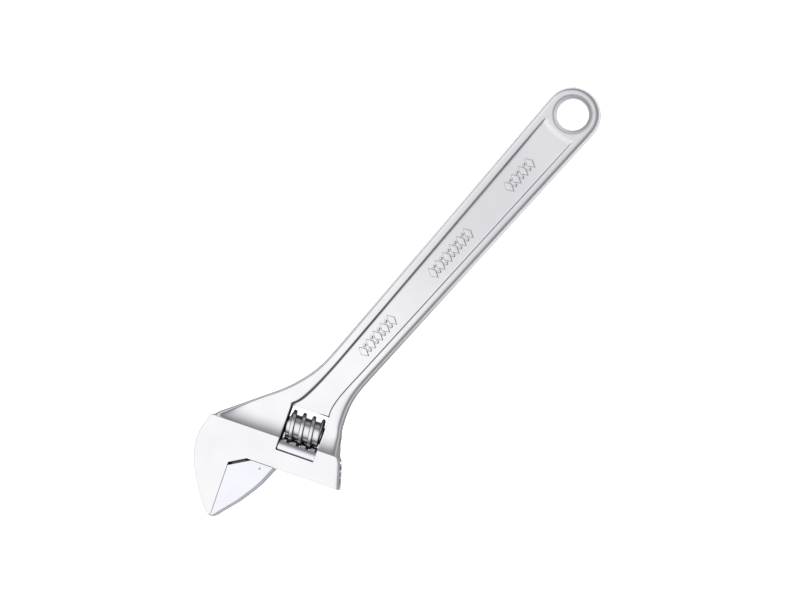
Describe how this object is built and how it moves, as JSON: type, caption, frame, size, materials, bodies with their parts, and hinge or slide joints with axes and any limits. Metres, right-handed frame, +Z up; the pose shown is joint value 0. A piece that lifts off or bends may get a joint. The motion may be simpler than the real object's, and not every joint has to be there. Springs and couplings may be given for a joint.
{
  "type": "adjustable wrench",
  "caption": "Adjustable wrench with a recessed handle panel, hang hole, angled head and a worm-driven sliding jaw.",
  "frame": {"origin": "centre of the bounding box, at the underside of the lower head face; the wrench lies flat with its jaws closed", "axes": "+X along the handle from the head to the hang hole, +Y across the handle towards the fixed jaw's back, +Z up through the thickness"},
  "size_m": [0.3012, 0.0784, 0.018],
  "materials": {
    "forged_body": "bright satin chrome plate",
    "jaw": "bright satin chrome plate",
    "worm": "plated, slightly darker",
    "pin": "turned steel",
    "spring": "spring wire"
  },
  "bodies": {
    "handle": {"wrench_body": "forged_body", "worm_pin": "pin", "worm_spring": "spring"},
    "jaw": {"movable_jaw": "jaw"},
    "worm": {"worm": "worm"}
  },
  "joints": [
    {"name": "jaw_slide", "type": "slide", "parent": "handle", "child": "jaw", "axis": [0.3827, -0.9239, 0], "range_m": [0, 0.034]},
    {"name": "worm_spin", "type": "hinge", "parent": "handle", "child": "worm", "pos_m": [-0.09598, 0.02525, 0.009], "axis": [0.3827, -0.9239, 0], "range_deg": [-2320, 5]}
  ],
  "couplings": [
    {"joint": "worm_spin", "follows": "jaw_slide", "rad_per_m": -1185.5}
  ]
}
